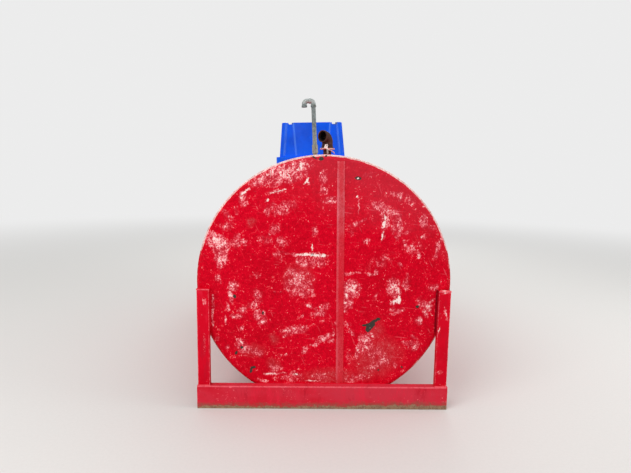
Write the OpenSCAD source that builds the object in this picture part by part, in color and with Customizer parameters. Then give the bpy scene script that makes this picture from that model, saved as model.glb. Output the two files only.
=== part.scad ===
// Horizontal steel storage tank with flat flanged heads, carried at each end by a U frame of rolled channel.
// Millimetres. The origin lies on the ground under the middle of the tank, and +Y runs along the tank.
// The end with the leaning head seam, the fill elbow and the vent faces -Y.

/* [Tank] */
// Outside diameter of the shell
tank_od = 1626; // [1200:2:2000]
// Length over the two flat head faces
tank_length = 2743; // [2400:1:4000]
// Plate thickness of the shell
shell_wall = 5; // [4:0.5:10]
// Plate thickness of the heads
head_wall = 6; // [4:0.5:10]
// Outside radius of the turned edge of a head
knuckle_radius = 25; // [15:1:40]
// Straight part of a head's turned edge, inside the shell
head_skirt = 35; // [20:1:60]
// Height of the shell's underside above the ground
ground_gap = 5; // [4:1:40]

/* [Welds] */
// Width of the bead over a seam of the shell
bead_width = 11; // [6:1:20]
// Height of the bead over a seam of the shell
bead_height = 2.5; // [1:0.5:4]
// Height of the fillet weld between a head and the edge of the shell
edge_weld_height = 7; // [4:0.5:10]

/* [Head seam] */
// Distance of a head's seam from the middle of the head
seam_offset = 101; // [40:1:250]
// Lean of a head's seam from upright, in degrees
seam_lean = 0.75; // [0:0.05:5]
// Width of the strap over a head's seam
strap_width = 47; // [30:1:90]
// Thickness of the strap over a head's seam
strap_wall = 3; // [2:0.5:6]

/* [End frames] */
// Distance of a beam's end inside the side of the tank
beam_inset = 5; // [0:1:100]
// Height of a beam
beam_height = 152; // [100:1:200]
// Reach of a beam's flanges, from the face of its web
beam_flange = 49; // [40:1:80]
// Thickness of a beam's web
beam_web = 5; // [4:0.5:10]
// Thickness of a beam's flanges at their tips
beam_toe = 7; // [5:0.5:10]
// Width of a post
post_width = 76; // [50:1:120]
// Reach of a post's flanges, from the face of its web
post_flange = 36; // [25:1:60]
// Thickness of a post's web
post_web = 4.5; // [4:0.5:8]
// Thickness of a post's flanges at their tips
post_toe = 5.5; // [4:0.5:8]
// Distance of a post's outer face inside the side of the tank
post_inset = 10; // [0:1:100]
// Height of the top of a post above the ground
post_top = 785; // [500:1:1000]
// Thickness of the cap plate on a post
cap_wall = 5; // [3:0.5:12]
// Overhang of the cap plate beyond the post's face and sides
cap_overhang = 3; // [0:0.5:8]

/* [Vent] */
// Place of the vent to the left of the tank's crown
vent_left = 56; // [0:1:150]
// Place of the vent behind the front edge of the shell
vent_back = 790; // [300:5:870]
// Lean of the vent to the left, in degrees
vent_lean = 3; // [0:0.5:6]
// Outside diameter of the vent pipe
vent_pipe_od = 33.4; // [25:0.1:50]
// Wall of the vent pipe
vent_pipe_wall = 3.4; // [2:0.1:6]
// Outside diameter of the vent's coupling
vent_coupling_od = 45; // [40:1:70]
// Length of the vent's coupling
vent_coupling_length = 66; // [30:1:90]
// Height of the top of the vent's coupling above the crown
vent_coupling_top = 106; // [95:1:140]
// Height of the level run of the gooseneck above the crown
vent_height = 440; // [250:1:700]
// Distance between the two legs of the gooseneck
vent_legs = 70; // [66:1:120]
// Drop of a leg of the gooseneck below its level run
vent_drop = 46; // [40:1:90]
// Outside diameter of the body of a vent elbow
vent_elbow_od = 37; // [36:0.5:60]
// Outside diameter of the collar of a vent elbow
vent_collar_od = 43; // [40:0.5:70]
// Length of the collar of a vent elbow
vent_collar_length = 13; // [6:1:18]
// Length of pipe left bare between the two vent elbows
vent_elbow_gap = 5; // [2:0.5:8]

/* [Fill] */
// Place of the fill pipe to the right of the tank's crown
fill_right = 29; // [0:1:150]
// Place of the fill pipe behind the front edge of the shell
fill_back = 600; // [200:5:700]
// Outside diameter of the fill neck
fill_neck_od = 60.3; // [48:0.1:76]
// Wall of the fill neck
fill_neck_wall = 4; // [3:0.1:8]
// Outside diameter of the fill flange
fill_flange_od = 108; // [90:1:160]
// Thickness of the fill flange
fill_flange_wall = 9; // [6:1:16]
// Height of the top of the fill flange above the crown
fill_flange_top = 70; // [55:1:90]
// Height of the middle of the fill mouth above the crown
fill_mouth_height = 155; // [145:1:220]
// Reach of the fill mouth from the fill neck's middle
fill_reach = 60; // [56:1:110]
// Turn of the fill mouth to the left of straight ahead, in degrees
fill_turn = 41; // [0:1:90]
// Radius of the bend of the fill elbow, at its middle
fill_bend = 44; // [42:1:54]
// Outside diameter of the body of the fill elbow
fill_elbow_od = 81; // [72:1:84]
// Outside diameter of the fill elbow's collars
fill_collar_od = 87; // [85:1:110]
// Length of the fill elbow's collars
fill_collar_length = 16; // [8:1:25]
// Bore of the fill mouth
fill_mouth_bore = 73; // [64:1:78]
// Depth of the bore of the fill mouth
fill_mouth_depth = 14; // [8:1:20]

/* [Bungs] */
// Height of the weld-on bungs above the crown
bung_height = 24; // [16:1:28]
// Wall of the weld-on bungs
bung_wall = 8; // [5:1:14]

/* [Plastic cover] */
// Place of the cover's middle to the left of the tank's crown
cover_left = 64; // [0:1:120]
// Place of the cover's middle behind the rear girth weld
cover_back = 305; // [280:5:420]
// Turn of the cover on the tank, in degrees
cover_turn = -2; // [-20:1:20]
// Lean of the cover to the left, in degrees, as it sits askew on the round crown
cover_lean = 1.5; // [0:0.5:4]
// Width of the cover at its closed top
cover_width = 606; // [500:1:640]
// Length of the cover at its closed top
cover_length = 400; // [300:1:440]
// Height of the cover
cover_height = 406; // [300:1:500]
// Widening of the cover from its closed top to its open rim, on each side
cover_flare = 33; // [10:1:60]
// Depth that the rim hangs below the tank's crown
cover_drop = 11; // [8:1:30]
// Height of the rim's lip
lip_height = 64; // [30:1:80]
// Reach of the rim's lip beyond the walls
lip_reach = 28; // [12:1:40]
// Wall of the cover
cover_wall = 4; // [3:0.5:8]
// Radius of the cover's upright corners at its rim
cover_corner = 48; // [30:1:60]
// Depth of the upright channels in the cover's front and back
channel_depth = 14; // [4:1:20]
// Distance of each channel's middle from the cover's middle
channel_place = 220; // [180:1:225]
// Width of a channel at the cover's closed top
channel_top_width = 66; // [30:1:80]
// Width of a channel at the cover's rim
channel_rim_width = 134; // [30:1:140]
// Distance of a channel's low end from the lip
channel_margin = 14; // [8:1:40]
// Width of the groove that joins two channels over the closed top
groove_width = 34; // [20:1:50]
// Depth of the grooves in the closed top
groove_depth = 16; // [6:1:24]
// Thickness of the gussets under the lip
gusset_wall = 3; // [2:0.5:6]

/* [Fits] */
// Clearance between round pieces that sit in or on each other
fit = 0.3; // [0.1:0.05:0.6]

/* [Hidden] */

red_paint = "firebrick";
galvanised = "silver";
rusty = "saddlebrown";
blue_plastic = "royalblue";

$fn = 96;
cover_facets = 32;
saddle_facets = 360;
slack = 1;
tank_radius = tank_od / 2;
shell_bore = tank_od - 2 * shell_wall;
shell_length = tank_length - 2 * knuckle_radius;
shell_end = shell_length / 2;
course_count = 3;
beam_length = tank_od - 2 * beam_inset;
post_middle = tank_radius - post_inset - post_width / 2;
course_length = shell_length / course_count;
head_face = tank_length / 2;
skirt_radius = shell_bore / 2 - fit;
knuckle_ring = skirt_radius - knuckle_radius;
axis_height = ground_gap + tank_radius;
crown = ground_gap + tank_od;

// Angles of the lengthwise seams from the crown, towards +X, staggered from course to course
front_seam_angle = 55;
middle_seam_angle = -55;
rear_seam_angle = 55;

// Rolled channels thicken from the tip of a flange to its root
flange_slope = 1 / 6;

// Angle about +Z at which the fill mouth looks out
fill_aim = -90 - fill_turn;

// Heights above the crown: pipes start just over the shell, and bungs run down into its curve
pipe_seat = 6;
bung_seat_depth = 12;
shell_hole_depth = 40;

// The two pipes of the vent meet in the middle of the coupling, and the upper one ends in the elbow's collar
vent_joint = vent_coupling_top - vent_coupling_length / 2;
vent_pipe_top = vent_height - vent_drop + vent_collar_length;
vent_straight = 12;
vent_bend = vent_legs / 2 - vent_straight;

// Reach of the vent elbows from their corners, and how deep the spigot of one goes into the other
vent_reach = (vent_legs - vent_elbow_gap) / 2;
vent_spigot = vent_elbow_gap + 0.7 * vent_collar_length;

// How far a wall of the cover leans in for each unit of height
cover_slope = cover_flare / cover_height;
rim_width = cover_width + 2 * cover_flare;
rim_length = cover_length + 2 * cover_flare;
gusset_count = 4;
cover_middle = (course_count - 1) * course_length + cover_back;

// Turns a part drawn round Z to the tank's axis, with its +Z looking out of the front
module on_axis() {
    translate([0, 0, axis_height]) rotate([90, 0, 0]) children();
}

// Copies a part of the front end to the rear end
module at_rear() {
    mirror([0, 1, 0]) children();
}

// Depth behind the front edge of the shell, as a place along Y
function behind_edge(depth) = depth - shell_end;

// Closed solid of the shell's outside, with a clearance, for cutting saddles
module tank_outside(clearance) {
    cut_length = tank_length + 2 * slack;
    on_axis() cylinder(h = cut_length, r = tank_radius + clearance, center = true, $fn = saddle_facets);
}

module tube(od, wall, length) {
    difference() {
        cylinder(h = length, d = od);
        translate([0, 0, -slack]) cylinder(h = length + 2 * slack, d = od - 2 * wall);
    }
}

module fill_place() {
    translate([fill_right, behind_edge(fill_back), crown]) children();
}

module vent_place() {
    translate([-vent_left, behind_edge(vent_back), crown]) rotate([0, -vent_lean, 0]) children();
}

// One rolled course, counted from the front
module shell_course(number) {
    color(red_paint) difference() {
        on_axis() translate([0, 0, shell_end - (number + 1) * course_length]) {
            tube(tank_od, shell_wall, course_length);
        }
        if (number == 0) {
            translate([0, 0, -shell_hole_depth]) {
                fill_place() cylinder(h = 2 * shell_hole_depth, d = fill_neck_od - 2 * fill_neck_wall);
                vent_place() cylinder(h = 2 * shell_hole_depth, d = vent_pipe_od - 2 * vent_pipe_wall);
            }
        }
    }
}

// Lengthwise bead over the closing seam of one course
module course_seam(number, angle) {
    seam_length = course_length - bead_width - 2 * slack;
    color(red_paint) on_axis()
        translate([0, 0, shell_end - (number + 0.5) * course_length])
            rotate([0, 0, 90 - angle])
                translate([tank_radius, 0, 0])
                    linear_extrude(height = seam_length, center = true)
                        bead_profile();
}

// Cross-section of a bead, standing out along +X from the surface of the shell
module bead_profile() {
    polygon([[0, -bead_width / 2], [bead_height, -bead_width / 5],
             [bead_height, bead_width / 5], [0, bead_width / 2]]);
}

// Bead round the shell where two courses meet
module girth_weld(number) {
    color(red_paint) on_axis()
        translate([0, 0, shell_end - number * course_length])
            rotate_extrude()
                translate([tank_radius, 0])
                    bead_profile();
}

// Half section of a flat head with its turned edge, in radius and distance along the axis
module head_section() {
    knuckle_low = head_face - knuckle_radius;
    translate([0, head_face - head_wall]) square([knuckle_ring, head_wall]);
    translate([knuckle_ring, knuckle_low]) intersection() {
        difference() {
            circle(r = knuckle_radius);
            circle(r = knuckle_radius - head_wall);
        }
        square(knuckle_radius);
    }
    translate([skirt_radius - head_wall, knuckle_low - head_skirt]) square([head_wall, head_skirt]);
}

// The part of a head on one side of its seam: side is 1 for the right, -1 for the left
module head_plate(side) {
    color(red_paint) on_axis() rotate([0, 0, seam_lean]) intersection() {
        rotate_extrude() head_section();
        translate([seam_offset + side * tank_radius, 0, head_face])
            cube([2 * tank_radius, tank_od, tank_od], center = true);
    }
}

// Strap welded over a head's seam, from the top of the flat to just above the beam
module head_strap() {
    strap_edge = seam_offset + strap_width / 2;
    strap_top = sqrt(knuckle_ring * knuckle_ring - strap_edge * strap_edge);
    strap_low = beam_height + slack - axis_height;
    color(red_paint) on_axis() rotate([0, 0, seam_lean])
        translate([seam_offset - strap_width / 2, strap_low, head_face])
            cube([strap_width, strap_top - strap_low, strap_wall]);
}

// Fillet weld that closes the edge of the shell against the turned edge of a head
module edge_weld() {
    color(red_paint) on_axis()
        rotate_extrude()
            translate([skirt_radius + fit, shell_end])
                polygon([[0, 0], [shell_wall - fit, 0], [shell_wall - slack, edge_weld_height / 3],
                         [0, edge_weld_height]]);
}

// Rolled channel: the web's face lies on Y = 0 and the flanges reach along +X of the profile
module channel_profile(width, flange, web, toe) {
    root = toe + (flange - web) * flange_slope;
    polygon([[0, -width / 2], [flange, -width / 2], [flange, toe - width / 2], [web, root - width / 2],
             [web, width / 2 - root], [flange, width / 2 - toe], [flange, width / 2], [0, width / 2]]);
}

// Beam on the ground across the foot of a head, with the tips of its flanges on the head's face
module beam() {
    color(red_paint) translate([0, -head_face - beam_flange, beam_height / 2])
        rotate([90, 0, 90])
            linear_extrude(height = beam_length, center = true)
                channel_profile(beam_height, beam_flange, beam_web, beam_toe);
}

// Post on the beam with its cap plate: side is 1 for the right, -1 for the left
module post(side) {
    cap_low = post_top - beam_height - cap_wall;
    color(red_paint) translate([side * post_middle, -head_face - post_flange, beam_height])
        rotate([0, 0, 90]) {
            linear_extrude(height = cap_low)
                channel_profile(post_width, post_flange, post_web, post_toe);
            translate([-cap_overhang, -post_width / 2 - cap_overhang, cap_low])
                cube([post_flange + cap_overhang, post_width + 2 * cap_overhang, cap_wall]);
        }
}

// Bung welded on the shell round an upright pipe
module bung(pipe_od) {
    bung_bore = pipe_od + 2 * fit;
    translate([0, 0, -bung_seat_depth])
        tube(bung_bore + 2 * bung_wall, bung_wall, bung_height + bung_seat_depth);
}

// Elbow with collars: its first leg hangs down from the corner, its second leaves along +X
module elbow(body_od, bore, bend, drop, reach, collar_od, collar_length) {
    module bend_solid(diameter) {
        translate([bend, 0, -bend]) rotate([90, 0, 0]) rotate([0, 0, 90])
            rotate_extrude(angle = 90) translate([bend, 0]) circle(d = diameter);
    }
    module leg_down(diameter, start, length) {
        translate([0, 0, start - length]) cylinder(h = length, d = diameter);
    }
    module leg_out(diameter, start, length) {
        translate([start, 0, 0]) rotate([0, 90, 0]) cylinder(h = length, d = diameter);
    }
    difference() {
        union() {
            bend_solid(body_od);
            leg_down(body_od, -bend, drop - bend);
            leg_out(body_od, bend, reach - bend);
            leg_down(collar_od, collar_length - drop, collar_length);
            leg_out(collar_od, reach - collar_length, collar_length);
        }
        bend_solid(bore);
        leg_down(bore, -bend, drop - bend + slack);
        leg_out(bore, bend, reach - bend + slack);
    }
}

module vent_bung() {
    color(red_paint) difference() {
        vent_place() bung(vent_pipe_od);
        tank_outside(fit);
    }
}

// Short pipe between the bung and the coupling
module vent_nipple() {
    color(galvanised) vent_place()
        translate([0, 0, pipe_seat]) tube(vent_pipe_od, vent_pipe_wall, vent_joint - pipe_seat);
}

module vent_coupling() {
    coupling_wall = vent_coupling_od / 2 - vent_pipe_od / 2 - fit;
    color(galvanised) vent_place()
        translate([0, 0, vent_coupling_top - vent_coupling_length])
            tube(vent_coupling_od, coupling_wall, vent_coupling_length);
}

module vent_pipe() {
    color(galvanised) vent_place()
        translate([0, 0, vent_joint]) tube(vent_pipe_od, vent_pipe_wall, vent_pipe_top - vent_joint);
}

module vent_elbow_shape() {
    elbow(vent_elbow_od, vent_pipe_od + 2 * fit, vent_bend, vent_drop, vent_reach,
          vent_collar_od, vent_collar_length);
}

// Elbow on the vent pipe, turning it to the left
module vent_elbow() {
    color(galvanised) vent_place() translate([0, 0, vent_height]) mirror([1, 0, 0]) vent_elbow_shape();
}

// Street elbow that turns the vent down again: a collar at its mouth, and a spigot into the other elbow
module vent_return_elbow() {
    spigot_end = vent_reach + vent_spigot;
    spigot_bore = vent_pipe_od - 2 * vent_pipe_wall;
    color(galvanised) vent_place() translate([-vent_legs, 0, vent_height]) difference() {
        union() {
            elbow(vent_elbow_od, spigot_bore, vent_bend, vent_drop, vent_reach, vent_elbow_od, slack);
            translate([0, 0, -vent_drop]) cylinder(h = vent_collar_length, d = vent_collar_od);
            translate([vent_bend, 0, 0]) rotate([0, 90, 0])
                cylinder(h = spigot_end - vent_bend, d = vent_pipe_od);
        }
        translate([0, 0, -vent_drop - slack])
            cylinder(h = vent_collar_length + slack, d = vent_pipe_od + 2 * fit);
        translate([0, 0, -vent_drop - slack])
            cylinder(h = vent_drop - vent_bend + slack, d = spigot_bore);
        translate([vent_bend, 0, 0]) rotate([0, 90, 0])
            cylinder(h = spigot_end - vent_bend + slack, d = spigot_bore);
    }
}

module fill_bung() {
    color(red_paint) difference() {
        fill_place() bung(fill_neck_od);
        tank_outside(fit);
    }
}

// Short pipe from the bung up through the flange into the elbow
module fill_neck() {
    neck_top = fill_flange_top + fill_collar_length;
    color(rusty) fill_place()
        translate([0, 0, pipe_seat]) tube(fill_neck_od, fill_neck_wall, neck_top - pipe_seat);
}

// Round plate on the neck, under the elbow
module fill_flange() {
    flange_wall_across = fill_flange_od / 2 - fill_neck_od / 2 - fit;
    color(red_paint) fill_place()
        translate([0, 0, fill_flange_top - fill_flange_wall])
            tube(fill_flange_od, flange_wall_across, fill_flange_wall);
}

module fill_elbow() {
    color(rusty) fill_place() translate([0, 0, fill_mouth_height]) rotate([0, 0, fill_aim])
        difference() {
            elbow(fill_elbow_od, fill_neck_od + 2 * fit, fill_bend, fill_mouth_height - fill_flange_top,
                  fill_reach, fill_collar_od, fill_collar_length);
            translate([fill_reach - fill_mouth_depth, 0, 0]) rotate([0, 90, 0])
                cylinder(h = fill_mouth_depth + slack, d = fill_mouth_bore);
        }
}

// Rounded rectangle round the middle of the cover
module cover_outline(width, length, corner) {
    hull() for (x = [-1, 1], y = [-1, 1])
        translate([x * (width / 2 - corner), y * (length / 2 - corner)])
            circle(r = corner, $fn = cover_facets);
}

// Outline of the rim, grown outwards on every side
module lip_outline(reach) {
    cover_outline(rim_width + 2 * reach, rim_length + 2 * reach, cover_corner + reach);
}

// Block with the cover's taper between two heights over the rim's plane, shrunk on every side by an inset
module cover_block(inset, low, high) {
    low_width = rim_width - 2 * inset - 2 * cover_slope * low;
    low_length = rim_length - 2 * inset - 2 * cover_slope * low;
    narrowing = 2 * cover_slope * (high - low);
    top_share = [1 - narrowing / low_width, 1 - narrowing / low_length];
    translate([0, 0, low]) linear_extrude(height = high - low, scale = top_share, slices = 1)
        cover_outline(low_width, low_length, cover_corner - inset);
}

// The two channels of one side, from the lip up through the closed top, grown on every side by an inset
module channel_cuts(inset) {
    low_half = channel_rim_width / 2 + inset;
    top_half = channel_top_width / 2 + inset;
    for (side = [-1, 1])
        translate([side * channel_place, 0, 0]) rotate([90, 0, 0]) linear_extrude(height = rim_length)
            intersection() {
                polygon([[-low_half, 0], [low_half, 0], [top_half, cover_height],
                         [top_half, cover_height + slack], [-top_half, cover_height + slack],
                         [-top_half, cover_height]]);
                translate([-rim_width, lip_height + channel_margin - inset])
                    square([2 * rim_width, cover_height]);
            }
}

// The two grooves over the closed top, from channel to channel, grown on every side by an inset
module groove_cuts(inset) {
    for (side = [-1, 1])
        translate([side * channel_place - groove_width / 2 - inset, -rim_length,
                   cover_height - groove_depth - inset])
            cube([groove_width + 2 * inset, 2 * rim_length, cover_height]);
}

// The cover's walls and closed top from a low height, with its channels and grooves
module cover_skin(inset, low) {
    difference() {
        cover_block(inset, low, cover_height - inset);
        for (turn = [0, 180]) rotate([0, 0, turn])
            difference() {
                channel_cuts(inset);
                cover_block(inset + channel_depth, low, cover_height + 2 * slack);
            }
        groove_cuts(inset);
    }
}

// Lip round the rim: a ledge that turns down into a skirt, open below
module cover_lip() {
    hollow_reach = lip_reach - cover_wall;
    difference() {
        linear_extrude(height = lip_height) lip_outline(lip_reach);
        translate([0, 0, -slack]) linear_extrude(height = lip_height - cover_wall + slack)
            lip_outline(hollow_reach);
    }
}

// Gussets from inside the walls out to the lip's skirt, spaced along each side
module lip_gussets() {
    reach = lip_reach + cover_wall;
    height = lip_height - cover_wall / 2;
    for (turn = [0, 180], step = [0.5 : gusset_count - 0.5]) {
        share = step / gusset_count - 0.5;
        rotate([0, 0, turn]) {
            translate([share * cover_width - gusset_wall / 2, rim_length / 2 - 1.5 * cover_wall, 0])
                cube([gusset_wall, reach, height]);
            translate([rim_width / 2 - 1.5 * cover_wall, share * cover_length - gusset_wall / 2, 0])
                cube([reach, gusset_wall, height]);
        }
    }
}

// Upturned plastic tub on the crown, its rim cut to the tank's curve
module plastic_cover() {
    color(blue_plastic) difference() {
        translate([-cover_left, behind_edge(cover_middle), crown - cover_drop])
            rotate([0, -cover_lean, cover_turn])
            difference() {
                union() {
                    cover_skin(0, 0);
                    cover_lip();
                    lip_gussets();
                }
                cover_skin(cover_wall, -slack);
            }
        tank_outside(fit);
    }
}

shell_course(0);  // shell_course_front
shell_course(1);  // shell_course_middle
shell_course(2);  // shell_course_rear
course_seam(0, front_seam_angle);  // front_course_seam
course_seam(1, middle_seam_angle);  // middle_course_seam
course_seam(2, rear_seam_angle);  // rear_course_seam
girth_weld(1);  // front_girth_weld
girth_weld(2);  // rear_girth_weld
head_plate(-1);  // front_head_wide_plate
head_plate(1);  // front_head_narrow_plate
head_strap();  // front_head_strap
edge_weld();  // front_edge_weld
at_rear() head_plate(-1);  // rear_head_wide_plate
at_rear() head_plate(1);  // rear_head_narrow_plate
at_rear() head_strap();  // rear_head_strap
at_rear() edge_weld();  // rear_edge_weld
beam();  // front_beam
post(-1);  // front_left_post
post(1);  // front_right_post
at_rear() beam();  // rear_beam
at_rear() post(-1);  // rear_left_post
at_rear() post(1);  // rear_right_post
vent_bung();
vent_nipple();
vent_coupling();
vent_pipe();
vent_elbow();
vent_return_elbow();
fill_bung();
fill_neck();
fill_flange();
fill_elbow();
plastic_cover();
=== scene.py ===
"""Looks for a horizontal steel storage tank: worn red paint, galvanised vent, rusty elbow, plastic cover."""

import math

import bmesh
import bpy
from mathutils import Matrix, Vector


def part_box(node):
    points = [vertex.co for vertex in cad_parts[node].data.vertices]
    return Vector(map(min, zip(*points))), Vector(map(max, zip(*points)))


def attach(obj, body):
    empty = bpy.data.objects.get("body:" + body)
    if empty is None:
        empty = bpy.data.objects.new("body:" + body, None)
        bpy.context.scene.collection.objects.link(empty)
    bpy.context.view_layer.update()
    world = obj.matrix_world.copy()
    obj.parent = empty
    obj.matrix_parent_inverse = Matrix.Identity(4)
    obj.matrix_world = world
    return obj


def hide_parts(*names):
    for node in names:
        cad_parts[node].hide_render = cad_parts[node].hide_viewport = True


bl_info = {
    "name": "Horizontal storage tank",
    "version": (1, 0, 0),
    "blender": (4, 5, 0),
    "location": "3D View > Sidebar > Tank",
    "description": "Paints a packed storage tank and adds its welds, threads, bent clip and cover",
    "category": "Object",
}

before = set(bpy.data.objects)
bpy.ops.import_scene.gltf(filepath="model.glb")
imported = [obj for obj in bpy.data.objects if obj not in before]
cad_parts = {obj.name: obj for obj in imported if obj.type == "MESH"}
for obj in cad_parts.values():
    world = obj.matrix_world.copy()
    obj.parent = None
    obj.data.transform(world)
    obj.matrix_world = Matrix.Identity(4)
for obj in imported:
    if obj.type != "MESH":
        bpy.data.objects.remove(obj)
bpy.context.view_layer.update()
BODY = "root"
UP = Vector((0.0, 0.0, 1.0))

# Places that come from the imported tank
BEAM_LOW, BEAM_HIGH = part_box("front_beam")
SHELL_LOW, SHELL_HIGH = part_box("shell_course_front")
POST_LOW, POST_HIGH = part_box("front_left_post")
FLANGE_LOW, FLANGE_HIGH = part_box("fill_flange")
COVER_LOW, COVER_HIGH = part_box("plastic_cover")
CROWN = SHELL_HIGH.z
RADIUS = (SHELL_HIGH.x - SHELL_LOW.x) / 2
AXIS_HEIGHT = CROWN - RADIUS
FLANGE_MIDDLE = (FLANGE_LOW + FLANGE_HIGH) / 2

# Heads and frames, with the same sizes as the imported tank
HEAD_FACE = -1.3715
HEAD_FLAT = 0.7825
POST_HALF_OUT = 0.803
POST_HALF_IN = 0.727
STRAP_X = 0.101
STRAP_LEAN = 0.0131
STRAP_HALF = 0.0235

# The painted shade beside the right post, the painted shade in the crease inside a head's rim, how far marks
# reach over the seam, and soil
POST_GAP = (0.700, 0.712)
POST_GAP_FOOT = (0.47, 0.52)
POST_GAP_TOP = (0.76, 0.80)
HEAD_CREASE_SHADE = ((0.034, 0.028), (0.020, 0.014))
MARK_OVERLAP = 0.06
SOIL_HEIGHT = 0.020

# Vent, fill and the bent clip on the fill's flange. Each thread has its height on the vent and its length
VENT_X, VENT_Y = -0.056, -0.5565
VENT_LEAN = math.radians(3.0)
VENT_PIPE_RADIUS = 0.0167
VENT_HIGHLIGHT_TOP = (2.035, 2.06)
VENT_PALE_FOOT = (1.90, 1.72)
VENT_THREADS = ((0.0245, 0.0145), (0.1065, 0.011), (0.3815, 0.0115))
FILL_NECK_RADIUS = 0.03015
MOUTH_PLACE = (-0.0104, -0.7918, 1.786)
MOUTH_TURN = math.radians(-131.0)
MOUTH_RADIUS = 0.0365
CLIP_WALL = 0.0025
CLIP_FRONT = FLANGE_LOW.y - 0.001
CLIP_RIGHT = 0.030

# Plastic cover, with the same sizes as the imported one
COVER_TOP = (0.606, 0.400)
COVER_FLARE = 0.033
COVER_RIM = (COVER_TOP[0] + 2 * COVER_FLARE, COVER_TOP[1] + 2 * COVER_FLARE)
COVER_HEIGHT = 0.406
COVER_SLOPE = COVER_FLARE / COVER_HEIGHT
COVER_CORNER = 0.048
LIP_HEIGHT = 0.064
LIP_REACH = 0.028
LIP_EDGE = 0.006
CHANNEL_PLACE = 0.220
CHANNEL_WIDTHS = (0.134, 0.066)
CHANNEL_DEPTH = 0.014
CHANNEL_FOOT = LIP_HEIGHT + 0.014
GROOVE = (0.034, 0.016)
GROOVE_DARK_SPOTS = (-0.292, 0.150)
GUSSETS = 4
GUSSET_WALL = 0.003
COVER_CLEARANCE = 0.0005
COVER_MIDDLE = Vector((-0.064, (COVER_LOW.y + COVER_HIGH.y) / 2, CROWN - 0.011))
COVER_TURN = Matrix.Rotation(math.radians(-2.0), 4, "Z") @ Matrix.Rotation(math.radians(-1.5), 4, "Y")
COVER_PLACE = Matrix.Translation(COVER_MIDDLE) @ COVER_TURN

# Camera and light. Each lamp has its name, place, size and power
CAMERA_PLACE = Vector((-0.1119, -4.322, 1.510))
CAMERA_TURN = math.radians(-1.0)
CAMERA_PITCH = math.radians(7.5)
CAMERA_ROLL = math.radians(0.8317)
FOCAL_PIXELS = 474.0
PICTURE_WIDTH = 631.0
SENSOR = 36.0
SKY_LIGHT = 0.72
BACKDROP = 0.84
LAMPS = (
    ("key", (-3.5, -5.0, 5.5), 4.0, 210.0),
    ("side", (5.0, -1.5, 3.5), 3.5, 80.0),
    ("back", (1.0, 6.0, 5.0), 4.0, 120.0),
)

# How far a patch of the tables reaches through the tank
FAR = 1000.0

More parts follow.
